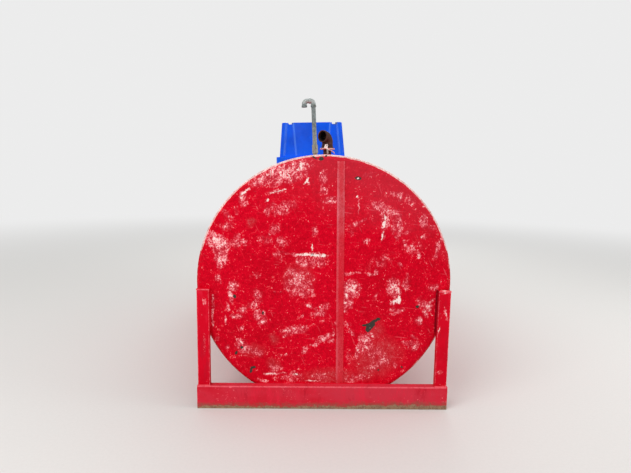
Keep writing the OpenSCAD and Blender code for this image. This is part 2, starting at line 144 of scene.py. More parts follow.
# Wear on the front head. Each row has the middle's x and z, half the width and half the height
# in millimetres, the turn in degrees and the strength in hundredths
HEAD_WEAR = (
    (-285, 1515, 160, 60, 14, 90), (-156, 1552, 25, 31, 0, 100), (-168, 1534, 19, 22, 30, 90),
    (-226, 1496, 10, 37, -30, 80), (-343, 1507, 8, 37, 0, 80), (-383, 1490, 50, 36, 20, 80),
    (-297, 1483, 60, 36, 0, 75), (-121, 1467, 8, 26, 30, 100), (-13, 1490, 25, 43, -10, 65),
    (26, 1352, 50, 25, -10, 50), (-18, 1413, 25, 31, 0, 42), (-507, 1391, 37, 9, 40, 95),
    (-513, 1350, 25, 37, 10, 60), (-557, 1282, 19, 37, 0, 42), (-607, 1237, 25, 62, 35, 35),
    (-312, 1396, 62, 12, 14, 60), (-365, 1343, 10, 14, 0, 80), (-271, 1298, 93, 43, 15, 46),
    (-358, 1265, 25, 25, 0, 50), (-284, 1266, 19, 12, 0, 60), (-315, 1172, 31, 43, -30, 40),
    (-343, 1128, 8, 9, 0, 80), (-377, 1095, 50, 31, 0, 35), (-277, 1078, 50, 43, 0, 38),
    (-64, 1156, 25, 37, 0, 42), (-620, 1181, 50, 31, 0, 35), (-690, 1092, 50, 43, -35, 115),
    (-646, 1050, 40, 42, -20, 120), (-650, 984, 28, 66, -8, 115), (-684, 1047, 25, 37, 0, 80),
    (-546, 1074, 56, 37, 0, 45), (-558, 1119, 31, 19, 0, 40), (-106, 1006, 112, 13, 0, 100),
    (-30, 1001, 37, 19, 0, 90), (-87, 959, 105, 37, 0, 50), (-295, 995, 37, 37, 0, 42),
    (-161, 816, 87, 87, -30, 50), (-200, 880, 56, 37, 0, 42), (-116, 757, 50, 37, 0, 45),
    (-434, 864, 37, 25, 0, 30), (-671, 842, 25, 31, 30, 50), (-580, 792, 31, 37, 0, 75),
    (-590, 739, 19, 43, 10, 75), (-421, 735, 25, 50, 20, 50), (-320, 762, 8, 7, 0, 90),
    (-275, 759, 9, 9, 0, 70), (-706, 718, 9, 19, 0, 90), (-709, 633, 6, 60, 0, 90),
    (-708, 554, 6, 19, 0, 90), (-613, 667, 11, 31, 0, 80), (-629, 575, 7, 25, 10, 80),
    (-562, 598, 37, 15, 0, 75), (-517, 642, 37, 25, 35, 60), (-460, 688, 37, 19, 25, 55),
    (-415, 610, 37, 37, 0, 55), (-396, 570, 31, 25, 0, 50), (-531, 522, 12, 15, 0, 60),
    (-434, 675, 19, 25, 0, 50), (-76, 666, 62, 19, -20, 35), (1, 673, 37, 25, 0, 42),
    (-37, 620, 56, 25, 15, 45), (-12, 640, 12, 31, 15, 60), (-146, 606, 31, 12, 45, 40),
    (-190, 512, 74, 25, 10, 55), (-139, 526, 37, 25, 0, 50), (-235, 478, 31, 15, 30, 50),
    (11, 461, 68, 19, 25, 60), (43, 441, 19, 12, 0, 70), (-47, 426, 43, 15, 15, 50),
    (-111, 385, 31, 19, 30, 50), (-124, 365, 19, 12, 0, 70), (62, 488, 15, 25, 0, 70),
    (99, 548, 25, 31, 0, 50), (-512, 389, 56, 31, -15, 60), (-531, 422, 25, 19, 0, 70),
    (-435, 356, 50, 25, 0, 40), (-622, 401, 15, 19, -30, 60), (-685, 454, 19, 19, 0, 40),
    (-254, 344, 43, 12, 0, 35), (-318, 255, 50, 25, 0, 45), (-344, 217, 43, 9, 0, 90),
    (-259, 218, 56, 7, 0, 60), (-175, 215, 31, 14, 0, 95), (-396, 172, 37, 7, 0, 70),
    (-70, 171, 43, 5, 0, 95), (-214, 187, 112, 25, 0, 35), (-18, 203, 74, 37, 0, 30),
    (143, 887, 43, 9, -3, 70), (200, 891, 37, 7, 0, 60), (296, 882, 37, 9, -10, 70),
    (327, 895, 12, 19, 20, 80), (152, 775, 32, 64, -8, 120), (180, 787, 37, 48, 0, 100),
    (140, 690, 33, 43, -10, 115), (110, 641, 25, 25, 20, 60), (142, 668, 25, 31, 0, 75),
    (446, 802, 34, 52, 3, 110), (470, 770, 20, 40, 0, 110), (421, 783, 25, 37, 0, 60),
    (521, 836, 19, 43, -5, 60), (536, 797, 15, 25, 0, 50), (459, 707, 31, 15, 15, 100),
    (471, 721, 15, 22, 0, 100), (438, 658, 19, 19, -40, 60), (477, 642, 31, 10, 5, 70),
    (516, 652, 12, 12, 0, 80), (446, 625, 25, 9, 10, 50), (332, 736, 12, 37, -25, 30),
    (637, 686, 31, 31, 30, 50), (670, 667, 25, 31, 35, 75), (687, 713, 31, 9, 45, 70),
    (609, 719, 19, 19, 0, 50), (652, 627, 19, 25, 30, 60), (609, 580, 31, 25, 20, 60),
    (702, 805, 50, 31, 0, 40), (583, 418, 37, 31, 20, 70), (597, 405, 19, 25, 0, 90),
    (537, 425, 25, 19, 0, 50), (588, 472, 25, 15, -20, 60), (270, 463, 43, 37, 0, 75),
    (226, 382, 15, 43, -8, 90), (315, 477, 19, 19, 0, 60), (184, 502, 11, 25, 35, 60),
    (278, 402, 43, 37, 0, 60), (337, 369, 62, 43, -20, 42), (385, 301, 62, 50, 0, 40),
    (321, 274, 37, 43, 0, 38), (471, 275, 37, 37, 0, 30), (151, 549, 25, 25, 0, 40),
    (162, 347, 25, 37, 0, 30), (218, 191, 87, 31, 0, 40), (253, 1509, 31, 19, 20, 40),
    (449, 1395, 43, 19, -10, 50), (463, 1370, 19, 25, -20, 55), (418, 1400, 19, 9, -30, 70),
    (339, 1318, 43, 25, -25, 50), (314, 1337, 25, 12, 0, 40), (373, 1244, 22, 50, 0, 80),
    (368, 1206, 19, 31, 0, 90), (361, 1130, 8, 31, -15, 100), (391, 1282, 19, 31, 0, 60),
    (428, 1276, 25, 25, 0, 60), (463, 1201, 25, 62, 5, 60), (426, 1181, 19, 43, 0, 50),
    (453, 1118, 9, 19, 0, 80), (186, 1197, 50, 19, 20, 42), (230, 1217, 25, 12, 20, 50),
    (168, 1165, 31, 31, 0, 35), (264, 1097, 25, 19, 25, 45), (619, 1222, 26, 37, 0, 105),
    (620, 1203, 25, 19, 0, 60), (624, 1260, 9, 19, 0, 70), (665, 1197, 37, 25, 0, 35),
    (521, 1157, 43, 12, 25, 35), (624, 1127, 25, 19, 0, 40), (499, 1087, 19, 25, 0, 50),
    (594, 1005, 15, 19, 0, 75), (571, 1030, 25, 19, 0, 40), (478, 952, 19, 12, -30, 60),
    (726, 1096, 19, 99, -10, 55), (743, 1135, 19, 50, -12, 70), (716, 1045, 12, 37, 0, 60),
    (705, 1006, 15, 19, 0, 60), (551, 1056, 87, 50, 0, 28), (351, 964, 124, 50, 30, 25),
    (202, 1323, 4, 40, 0, 80), (627, 1328, 37, 62, 35, 30), (526, 1358, 50, 50, 0, 28),
)

# Places where the paint is gone down to grey steel, same columns
HEAD_CHIPS = (
    (199, 1488, 22, 11, -5, 100), (-571, 732, 11, 13, 0, 100), (-391, 623, 7, 12, 0, 100),
    (-527, 394, 8, 9, 0, 100), (-562, 356, 9, 13, 0, 100), (-466, 243, 9, 24, -12, 100),
    (-452, 259, 15, 7, 20, 100), (602, 675, 12, 9, 0, 100), (363, 247, 8, 7, 0, 100),
    (515, 268, 8, 6, 0, 100), (-78, 1004, 9, 9, 0, 100), (303, 546, 36, 21, 38, 100),
    (272, 550, 29, 9, 8, 100), (331, 578, 25, 10, 15, 100), (289, 521, 19, 17, 60, 100),
    (352, 589, 15, 10, 0, 100), (-74, 1610, 16, 6, -40, 100), (-30, 1604, 17, 12, 0, 100),
    (-2, 1621, 8, 5, 0, 100),
)

# White flakes and hard white scrapes, same columns
HEAD_FLAKES = (
    (462, 712, 34, 14, 18, 100), (479, 720, 12, 32, 0, 100), (200, 1488, 8, 6, 0, 100),
    (194, 1376, 6, 9, 0, 100), (-158, 1558, 16, 24, 10, 90), (-176, 1536, 12, 12, 0, 80),
    (-121, 1467, 7, 28, -38, 100), (-507, 1391, 38, 7, 40, 100), (-130, 1006, 52, 9, 0, 90),
    (-55, 1003, 46, 10, 0, 90), (-8, 1001, 20, 14, 0, 100), (-81, 1050, 4, 34, 0, 80),
    (-343, 1507, 5, 38, 0, 75), (-228, 1495, 5, 42, 28, 70), (-300, 1400, 58, 6, 14, 70),
    (-362, 1345, 8, 12, 0, 90), (369, 1208, 11, 26, 0, 90), (373, 1246, 12, 36, 0, 70),
    (361, 1130, 6, 30, -15, 100), (-344, 217, 40, 6, 0, 80), (-175, 215, 26, 9, 0, 90),
    (-70, 171, 42, 4, 0, 90),
)

# Brownish and greyish places, same columns
HEAD_STAINS = (
    (-464, 1205, 30, 30, 0, 90), (-315, 451, 34, 34, 0, 70), (-165, 855, 100, 110, 0, 50),
    (352, 330, 170, 130, 25, 90), (290, 250, 90, 80, 0, 80), (340, 500, 60, 90, 0, 60),
    (50, 200, 200, 60, 0, 90), (-320, 275, 50, 50, 0, 60), (-460, 375, 100, 50, 0, 50),
)

# Scraped places on the posts, same columns
POST_SCARS = (
    (-752, 705, 14, 30, 0, 70), (-760, 690, 10, 10, 0, 80), (770, 640, 16, 60, 10, 70),
    (765, 779, 40, 20, 0, 90), (735, 530, 7, 30, 0, 100), (-762, 430, 14, 100, 0, 40),
    (762, 250, 30, 40, 0, 40),
)


def linear(red, green, blue):
    """Turns a colour of 0 to 255 into the linear colour that a shader takes."""
    return tuple(
        (c / 255 / 12.92) if c / 255 <= 0.04045 else ((c / 255 + 0.055) / 1.055) ** 2.4
        for c in (red, green, blue)
    ) + (1.0,)


class Amount:
    """A shader value that is worked with in plain sums."""

    def __init__(self, graph, socket):
        self.graph = graph
        self.socket = socket

    def __add__(self, other):
        return self.graph.maths("ADD", self, other)

    __radd__ = __add__

    def __sub__(self, other):
        return self.graph.maths("SUBTRACT", self, other)

    def __rsub__(self, other):
        return self.graph.maths("SUBTRACT", other, self)

    def __mul__(self, other):
        return self.graph.maths("MULTIPLY", self, other)

    __rmul__ = __mul__


class Finish:
    """One material and its nodes, with the shaded point in metres and the colour laid so far."""

    def __init__(self, name, **constants):
        self.material = bpy.data.materials.new(name)
        self.material.use_nodes = True
        self.tree = self.material.node_tree
        self.tree.nodes.clear()
        self.surface = self.tree.nodes.new("ShaderNodeOutputMaterial")
        self.shader = self.tree.nodes.new("ShaderNodeBsdfPrincipled")
        self.tree.links.new(self.shader.outputs[0], self.surface.inputs["Surface"])
        for socket, value in constants.items():
            self.shader.inputs[socket.replace("_", " ")].default_value = value
        self.point = self.node("ShaderNodeTexCoord", out="Object")
        self.x, self.y, self.z = self.axes(self.point)
        self.colour = None

    def feed(self, socket, value):
        """Links a shader value to a socket, or writes a plain value on it."""
        if isinstance(value, Amount):
            self.tree.links.new(value.socket, socket)
        else:
            socket.default_value = value

    def node(self, kind, inputs=None, out=0, **settings):
        """Adds a node with its settings, and the values or links of its sockets."""
        node = self.tree.nodes.new(kind)
        for name, value in settings.items():
            setattr(node, name, value)
        for name, value in (inputs or {}).items():
            self.feed(node.inputs[name], value)
        return Amount(self, node.outputs[out])

    def maths(self, operation, first, second=0.0):
        return self.node("ShaderNodeMath", {0: first, 1: second}, operation=operation)

    def vector(self, operation, *values, out=0):
        return self.node("ShaderNodeVectorMath", dict(enumerate(values)), out=out, operation=operation)

    def axes(self, point):
        """The three coordinates of a point."""
        first = self.node("ShaderNodeSeparateXYZ", {0: point})
        return tuple(Amount(self, socket) for socket in first.socket.node.outputs)

    def step(self, value, low, high, bottom=0.0, top=1.0):
        """Rises softly from bottom to top while the value goes from low to high."""
        return self.node(
            "ShaderNodeMapRange",
            {"Value": value, "From Min": low, "From Max": high, "To Min": bottom, "To Max": top},
            interpolation_type="SMOOTHSTEP",
        )

    def window(self, value, rise, fall):
        """Rises softly over one range of the value, and falls again over a later one."""
        return self.step(value, *rise) * (1 - self.step(value, *fall))

    def near(self, value, middle, inner, outer):
        """Full within the inner distance of the middle, and nothing past the outer one."""
        return 1 - self.step(self.maths("ABSOLUTE", value - middle), inner, outer)

    def mix(self, below, above, share):
        """Colour that goes from below to above as the share rises."""
        return self.node("ShaderNodeMix", {0: share, 6: below, 7: above}, out=2, data_type="RGBA")

    def lay(self, tint, share, *span):
        """Lays a tint over the colour so far, by a share or by a value's step over a span."""
        self.colour = self.mix(self.colour, tint, self.step(share, *span) if span else share)

    def noise(self, scale, detail=3.0, roughness=0.55, point=None, stretch=None, out="Fac"):
        """Cloud noise between 0 and 1, with features about 1 / scale metres across."""
        point = point or self.point
        if stretch:
            point = self.node("ShaderNodeMapping", {"Vector": point, "Scale": stretch})
        inputs = {"Vector": point, "Scale": scale, "Detail": detail, "Roughness": roughness}
        return self.node("ShaderNodeTexNoise", inputs, out=out)

    def shaken(self, scale, reach, point=None):
        """The shaded point moved about by noise, so that outlines turn ragged."""
        point = point or self.point
        shake = self.vector("SUBTRACT", self.noise(scale, 3.0, 0.5, point, out="Color"), (0.5, 0.5, 0.5))
        return self.vector("MULTIPLY_ADD", shake, (reach, reach, reach), point)

    def patches(self, places, point, spread=1.0):
        """Strength of the strongest patch at a point: full in its middle, nothing outside it."""
        field = 0.0
        for x, z, wide, high, turn, strength in places:
            ball = self.node("ShaderNodeTexGradient", {"Vector": point}, out="Fac", gradient_type="SPHERICAL")
            mapping = ball.socket.node.texture_mapping
            mapping.vector_type = "TEXTURE"
            mapping.translation = (x / 1000, 0.0, z / 1000)
            mapping.rotation = (0.0, -math.radians(turn), 0.0)
            mapping.scale = (wide / 1000 * spread, FAR, high / 1000 * spread)
            field = self.maths("MAXIMUM", ball * (strength / 100), field)
        return field

    def finish(self, roughness=None, metallic=None, height=None, depth=0.001):
        """Feeds the shader's varying sockets. Height is in shares of depth, which is in metres."""
        varying = {"Base Color": self.colour, "Roughness": roughness, "Metallic": metallic}
        if height is not None:
            relief = {"Height": height, "Distance": depth}
            varying["Normal"] = self.node("ShaderNodeBump", relief, out="Normal")
        for socket, value in varying.items():
            if value is not None:
                self.feed(self.shader.inputs[socket], value)
        return self.material


# Colours of the paint, of what shows under it, of dirt and of painted shade, the paint's gloss, and where
# wear starts
PAINT_DEEP = linear(202, 0, 28)
PAINT_DARK = linear(174, 0, 22)
PAINT_BRIGHT = linear(246, 8, 46)
PAINT_FADED = linear(208, 62, 80)
UNDERCOAT = linear(252, 114, 128)
CHALK = linear(255, 232, 226)
BARE_STEEL = linear(66, 60, 54)
SHADED_PAINT = linear(96, 4, 16)
EARTH = linear(162, 134, 104)
RUST = linear(112, 62, 38)
PAINT_GLOSS = 0.04
WEAR_SPREAD = 1.6
WORN = (0.9, 1.25)


def picked(name):
    """A main colour, as the panel has it."""
    return tuple(getattr(bpy.context.scene.tank_colours, name))


def paint_texture(paint):
    """Fine stipple and coarser clumps, spread over 0 to 1, that every worn edge is cut from."""
    stipple = paint.noise(125.0, 3.0, 0.75, stretch=(1.0, 1.0, 0.78))
    clumps = paint.noise(34.0, 3.0, 0.65)
    return stipple, (stipple * 0.62 + clumps * 0.38 - 0.5) * 3.6 + 0.5


def wear_field(paint, places, ragged, base_wear, drift_wear, rim):
    """Drifts over the paint, and how worn it is: the drifts with the listed places on top."""
    drifts = paint.noise(5.5, 4.0, 0.65)
    field = paint.step(drifts, 0.42, 0.72, base_wear, base_wear + drift_wear)
    if rim:
        field = field + paint.step(paint.z, 1.05, 1.45, 0.0, 0.06)
    if places:
        uneven = paint.noise(24.0, 4.0, 0.7, stretch=(1.4, 1.0, 0.7))
        listed = paint.patches(places, ragged, WEAR_SPREAD) * paint.step(uneven, 0.38, 0.58, 0.5, 1.15)
        field = paint.maths("MAXIMUM", field, paint.maths("MINIMUM", listed * 1.9, listed * 0.5 + 0.31))
    return drifts, field


def sun_fading(paint, faded):
    """Dusty fading that grows towards the crown."""
    dusty = paint.noise(7.0, 4.0, 0.65)
    sunned = paint.step(paint.z + (dusty - 0.5) * 0.5, AXIS_HEIGHT, CROWN, 0.4, 1.6)
    paint.lay(PAINT_FADED, paint.step(dusty, 0.25, 0.75, faded * 0.4, faded) * sunned)


def scratches(paint, turn):
    """Thin straight scratches in drifts, turned in the plane of the head."""
    place = {"Vector": paint.point, "Rotation": (0.0, math.radians(turn), 0.0)}
    laid = paint.node("ShaderNodeMapping", place)
    return paint.step(paint.noise(1.0, 1.0, 0.5, laid, (130.0, 7.0, 9.0)), 0.7, 0.74)


def axis_distance(paint):
    """Distance of the shaded point from the tank's axis."""
    across = paint.vector("MULTIPLY_ADD", paint.point, (1.0, 0.0, 1.0), (0.0, 0.0, -AXIS_HEIGHT))
    return paint.vector("LENGTH", across, out="Value")


def turned_edge(paint, radius, drifts):
    """Painted shade in the crease inside the head's turned edge, and haze on the upper right of the head."""
    # Painted shade: darker paint in the crease inside the turned edge
    crease_shade = paint.window(radius, *((RADIUS - far, RADIUS - near) for far, near in HEAD_CREASE_SHADE))
    paint.lay(PAINT_DEEP, crease_shade * 0.7)
    slanted = paint.z + paint.x * 0.3 + (drifts - 0.5) * 0.5
    paint.lay(linear(196, 52, 68), slanted, 1.15, 1.6, 0.0, 0.45)


def rim_flakes_highlight_and_shade(paint, radius, texture):
    """Chalky flakes along the rim together with a painted highlight on the turned edge, thickest at the top,
    and painted shade in the gap beside the right post.
    """
    patchy = paint.noise(9.0, 5.0, 0.75)
    # Pale band inside the rim: flaking paint together with a painted highlight where the turned edge faces up
    band = paint.step(radius + (patchy - 0.5) * 0.02, RADIUS - 0.0125, RADIUS - 0.0085)
    upper_flakes_and_highlight = paint.step(paint.z, 0.75, 1.35)
    edge = paint.step(patchy + upper_flakes_and_highlight * 0.36, 0.56, 0.68) * paint.step(texture, 0.2, 0.7, 0.45, 1.0)
    paint.lay(CHALK, edge * band * 0.95)
    # Painted shade on the head in the gap beside the right post
    shade_beside_post = paint.step(paint.x, POST_HALF_IN - 0.016, POST_HALF_IN - 0.006)
    paint.lay(SHADED_PAINT, shade_beside_post * paint.window(paint.z, POST_GAP_FOOT, POST_GAP_TOP) * 0.8)


def chips_and_flakes(paint, chips, flakes, texture):
    """Lays chips to the steel and white flakes over the paint, and gives the share that is bare."""
    rough = paint.shaken(60.0, 0.015)
    bare = paint.step(paint.patches(chips, rough, 1.15), 0.10, 0.22)
    paint.lay(BARE_STEEL, bare)
    white = paint.patches(flakes, rough, 1.3) + (texture - 0.5) * 0.7
    paint.lay(CHALK, white, 0.24, 0.62, 0.0, 0.95)
    return bare


def splashed_earth(paint, reach, strength):
    """Earth splashed up from the ground."""
    splash = paint.noise(12.0, 5.0, 0.72)
    height = paint.z - (splash - 0.5) * reach * 1.6
    paint.lay(EARTH, (1 - paint.step(height, reach * 0.45, reach)) * strength)


def worn_paint(
    name, marks=((), (), (), ()), base_wear=-0.08, drift_wear=0.32, faded=0.0, rim=False, earth=None
):
    """Red paint with speckled wear, scratches, chips to the steel, fading and earth from below."""
    paint = Finish(name, Specular_IOR_Level=PAINT_GLOSS)
    places, chips, flakes, stains = marks
    ragged = paint.shaken(40.0, 0.022, paint.shaken(11.0, 0.06))
    clouds = paint.noise(2.6, 4.0, 0.6)
    drifts, field = wear_field(paint, places, ragged, base_wear, drift_wear, rim)
    stipple, texture = paint_texture(paint)
    worn = paint.step(texture + field, *WORN)

    paint.colour = paint.mix(PAINT_DEEP, picked("red"), paint.step(clouds, 0.28, 0.6))
    paint.lay(PAINT_FADED, field, 0.15, 0.6, 0.0, 0.6)
    if faded:
        sun_fading(paint, faded)
    paint.lay(PAINT_DARK, texture, 0.55, 0.1, 0.0, 0.6)
    paint.lay(PAINT_BRIGHT, texture, 0.55, 0.95, 0.0, 0.6)
    if rim:
        radius = axis_distance(paint)
        turned_edge(paint, radius, drifts)
    if stains:
        dull = paint.maths("MINIMUM", paint.patches(stains, ragged, 1.2) * 1.4, 0.7)
        paint.lay(linear(184, 76, 80), dull * paint.step(texture, 0.2, 0.9, 0.2, 1.0))

    scraped = paint.maths("MAXIMUM", scratches(paint, 24.0), scratches(paint, 84.0))
    paint.lay(UNDERCOAT, scraped * paint.step(drifts, 0.45, 0.65, 0.05, 0.4))
    paint.lay(paint.mix(linear(244, 48, 72), UNDERCOAT, paint.step(field, 0.15, 0.5)), worn * 0.9)
    paint.lay(CHALK, worn * paint.step(texture + field, 1.15, 1.55, 0.05, 0.92))
    if rim:
        rim_flakes_highlight_and_shade(paint, radius, texture)
    relief = stipple * 0.3
    if chips:
        relief = relief - chips_and_flakes(paint, chips, flakes, texture) * 2.0
    if earth:
        splashed_earth(paint, *earth)
    relief = relief + paint.noise(3.2, 1.0, 0.4) * 9.0
    roughness = paint.step(clouds, 0.3, 0.7, 0.42, 0.55) + worn * 0.18
    return paint.finish(roughness, height=relief, depth=0.0004)


def strap_paint(name):
    """Faded paint of the strap over a head's seam, with painted highlights along its two edges."""
    paint = Finish(name, Specular_IOR_Level=PAINT_GLOSS)
    stipple, texture = paint_texture(paint)
    middle = STRAP_X - (paint.z - AXIS_HEIGHT) * STRAP_LEAN
    side = paint.x - middle
    height = paint.z + (paint.noise(7.0) - 0.5) * 0.35
    top = paint.step(height, 0.95, 1.35)
    foot = 1 - paint.step(height, 0.5, 0.72)
    cloudy = paint.noise(9.0, 4.0, 0.7, stretch=(1.0, 1.0, 0.4))
    dull = paint.step(cloudy, 0.3, 0.62, 0.3, 0.85) * (top * 0.65 + foot * 0.15 + 0.32)
    paint.colour = paint.mix(picked("red"), linear(206, 92, 100), dull)
    paint.lay(linear(184, 0, 24), texture, 0.55, 0.1, 0.0, 0.5)
    uneven = paint.step(cloudy + (texture - 0.5) * 0.3, 0.3, 0.6, 0.2, 1.0)
    # Painted highlights along the strap's two edges, the right one only towards the top
    left = 1 - paint.step(side, -STRAP_HALF + 0.006, -STRAP_HALF + 0.018)
    right = paint.step(side, STRAP_HALF - 0.014, STRAP_HALF - 0.004)
    paint.lay(linear(228, 112, 124), left * uneven * (top * 0.3 + 0.35))
    paint.lay(linear(218, 104, 114), right * uneven * top * 0.6)
    paint.lay(UNDERCOAT, texture + dull * 0.3, *WORN, 0.0, 0.6)
    roughness = paint.step(stipple, 0.3, 0.7, 0.45, 0.65)
    return paint.finish(roughness, height=stipple, depth=0.0003)


def painted_edge_highlights(paint, face, texture):
    """Painted highlights: pale lines along the edges of a frame, on its outward face alone, in the
    undercoat's pale pink.
    """
    on_face = paint.step(paint.maths("ABSOLUTE", paint.y), face - 0.007, face - 0.002)
    # Painted highlights along the top edges of the beam and posts
    for height in (BEAM_HIGH.z, POST_HIGH.z):
        line = paint.near(paint.z, height - 0.002, 0.0035, 0.0075)
        paint.lay(UNDERCOAT, line * on_face * paint.step(texture, 0.0, 0.7, 0.2, 0.75))
    side = paint.maths("ABSOLUTE", paint.x)
    above_beam = paint.step(paint.z, BEAM_HIGH.z - 0.002, BEAM_HIGH.z + 0.002)
    # Painted highlights along the upright edges of the posts, above the beam
    for edge in (POST_HALF_OUT, POST_HALF_IN):
        line = paint.near(side, edge, 0.002, 0.006) * above_beam
        paint.lay(UNDERCOAT, line * on_face * paint.step(texture, 0.3, 0.8, 0.0, 0.85))


def soiled_foot(paint, texture):
    """Ragged soil along the ground with a brown tint above it. Gives the soil's share and its grain."""
    splash = paint.noise(14.0, 5.0, 0.75, stretch=(1.0, 1.0, 1.6))
    rise = paint.step(paint.x, -0.2, 0.6, 0.0, 0.012)
    height = paint.z - (splash - 0.5) * 0.06 - (texture - 0.5) * 0.006 - rise
    ground = 1 - paint.step(height, SOIL_HEIGHT * 0.6, SOIL_HEIGHT)
    above = 1 - paint.step(height, SOIL_HEIGHT * 0.8, SOIL_HEIGHT * 2.6)
    paint.lay(linear(146, 84, 72), above * paint.step(texture, 0.1, 0.8, 0.35, 0.9))
    paint.lay(paint.mix(linear(128, 104, 84), EARTH, paint.step(texture, 0.2, 0.8)), ground * 0.92)
    return ground, splash


def frame_paint(name, face, haze, scars=()):
    """Red paint of the frames: hazy, with painted highlights along its edges and painted shade beside the
    right post, scraped, and earthy at the ground.
    """
    paint = Finish(name, Specular_IOR_Level=PAINT_GLOSS)
    stipple, texture = paint_texture(paint)
    clouds = paint.noise(4.0, 4.0, 0.62, stretch=(0.5, 0.5, 1.0))
    paint.colour = paint.mix(PAINT_DEEP, picked("red"), paint.step(clouds, 0.25, 0.55))
    paint.lay(PAINT_FADED, clouds, 0.35, 0.65, haze * 0.35, haze)
    streaks = paint.noise(16.0, 4.0, 0.7, stretch=(1.0, 1.0, 0.3))
    paint.lay(linear(232, 40, 66), streaks, 0.5, 0.7, 0.0, 0.55)
    paint.lay(linear(180, 22, 42), streaks, 0.46, 0.3, 0.0, 0.5)
    field = paint.step(paint.noise(6.0, 4.0, 0.65), 0.48, 0.72, 0.0, 0.3)
    if scars:
        field = paint.maths("MAXIMUM", field, paint.patches(scars, paint.shaken(9.0, 0.05), 1.2) * 1.3)
    worn = paint.step(texture + field, *WORN)
    paint.lay(UNDERCOAT, worn * 0.75)
    paint.lay(CHALK, worn * paint.step(texture + field, 1.2, 1.6, 0.05, 0.9))
    painted_edge_highlights(paint, face, texture)
    # Painted shade along the right post's inner edge, above its foot
    post_gap_shade = paint.window(paint.x, POST_GAP, (POST_HALF_IN - 0.001, POST_HALF_IN + 0.001))
    paint.lay(SHADED_PAINT, post_gap_shade * paint.step(paint.z, *POST_GAP_FOOT, 0.0, 0.85))
    ground, splash = soiled_foot(paint, texture)
    roughness = paint.step(clouds, 0.3, 0.7, 0.45, 0.6) + ground * 0.25
    return paint.finish(roughness, height=stipple * 0.4 + ground * splash * 3.0, depth=0.0005)


def galvanised_steel():
    """Dull galvanised steel of the vent, with a painted highlight on its top and paler near its foot, with
    grime and a little rust.
    """
    zinc = Finish("galvanised_steel")
    spangle = {"Vector": zinc.shaken(200.0, 0.002), "Scale": 170.0}
    cells = zinc.node("ShaderNodeTexVoronoi", spangle, out="Color")
    grime = zinc.noise(40.0, 4.0, 0.65)
    tone = zinc.node("ShaderNodeSeparateColor", {0: cells})
    zinc.colour = zinc.mix(picked("zinc"), linear(140, 152, 150), tone)
    # Painted highlight on the gooseneck at the vent's top
    zinc.lay(linear(196, 202, 200), zinc.z, *VENT_HIGHLIGHT_TOP, 0.0, 0.6)
    zinc.lay(linear(172, 178, 158), zinc.z, *VENT_PALE_FOOT, 0.0, 0.6)
    zinc.lay(linear(84, 88, 72), grime, 0.5, 0.7, 0.0, 0.75)
    zinc.lay(RUST, zinc.noise(90.0, 3.0, 0.6), 0.66, 0.74, 0.0, 0.7)
    roughness = zinc.step(grime, 0.3, 0.7, 0.38, 0.62)
    metal = zinc.step(grime, 0.42, 0.7, 0.35, 0.1)
    return zinc.finish(roughness, metal, grime, 0.0006)


def shade_inside_mouth(iron):
    """Share of painted shade, near black, on the inner wall of the fill elbow."""
    place = {"Vector": iron.point, "Location": MOUTH_PLACE, "Rotation": (0.0, 0.0, MOUTH_TURN)}
    laid = iron.node("ShaderNodeMapping", place, vector_type="TEXTURE")
    along = iron.axes(laid)[0]
    radius = iron.vector("LENGTH", iron.vector("MULTIPLY", laid, (0.0, 1.0, 1.0)), out="Value")
    within = 1 - iron.step(radius, MOUTH_RADIUS - 0.002, MOUTH_RADIUS + 0.0015)
    return within * iron.step(along, -0.060, -0.050) * (1 - iron.step(along, -0.004, 0.001, 0.0, 0.5))


def rusty_iron():
    """Evenly rusted iron of the fill elbow, with painted shade inside its mouth."""
    iron = Finish("rusty_iron", Specular_IOR_Level=0.25)
    clouds = iron.noise(20.0, 5.0, 0.7)
    grain = iron.noise(260.0, 3.0, 0.6)
    iron.colour = iron.mix(linear(52, 36, 34), picked("iron"), iron.step(clouds, 0.3, 0.55))
    iron.lay(linear(116, 74, 62), clouds, 0.55, 0.75)
    iron.lay(linear(128, 84, 60), grain, 0.58, 0.7, 0.0, 0.5)
    # Painted shade, near black, inside the elbow's mouth
    iron.lay(linear(14, 9, 10), shade_inside_mouth(iron))
    roughness = iron.step(grain, 0.3, 0.7, 0.62, 0.88)
    return iron.finish(roughness, height=clouds * 2.0 + grain, depth=0.0012)


def chipped_paint():
    """Pale chipped paint of the fill flange, with rust and red in its chips."""
    flange = Finish("chipped_paint", Specular_IOR_Level=0.2)
    blotch = flange.noise(60.0, 4.0, 0.7)
    flange.colour = flange.mix(linear(214, 156, 150), linear(236, 222, 214), flange.step(blotch, 0.4, 0.6))
    flange.lay(linear(96, 44, 36), flange.noise(85.0, 3.0, 0.6), 0.53, 0.6)
    flange.lay(picked("red"), flange.noise(38.0, 2.0, 0.5), 0.58, 0.62, 0.0, 0.8)
    return flange.finish(0.65, height=blotch, depth=0.001)


def weathered_clip():
    """Pale weathered metal of the bent clip, grey on its tongue, with spots of rust."""
    bent = Finish("weathered_clip", Specular_IOR_Level=0.2)
    blotch = bent.noise(70.0, 4.0, 0.7)
    to_the_right = bent.step(bent.x, CLIP_RIGHT, CLIP_RIGHT + 0.015)
    bent.colour = bent.mix(linear(244, 236, 230), linear(214, 176, 172), to_the_right)
    below = bent.step(bent.z, FLANGE_LOW.z + 0.004, FLANGE_LOW.z - 0.004)
    tongue = below * (1 - bent.step(bent.x, CLIP_RIGHT, CLIP_RIGHT + 0.004))
    bent.lay(linear(104, 112, 96), tongue * 0.8)
    bent.lay(linear(88, 50, 44), blotch, 0.54, 0.62, 0.0, 0.85)
    return bent.finish(0.6, height=blotch, depth=0.0008)


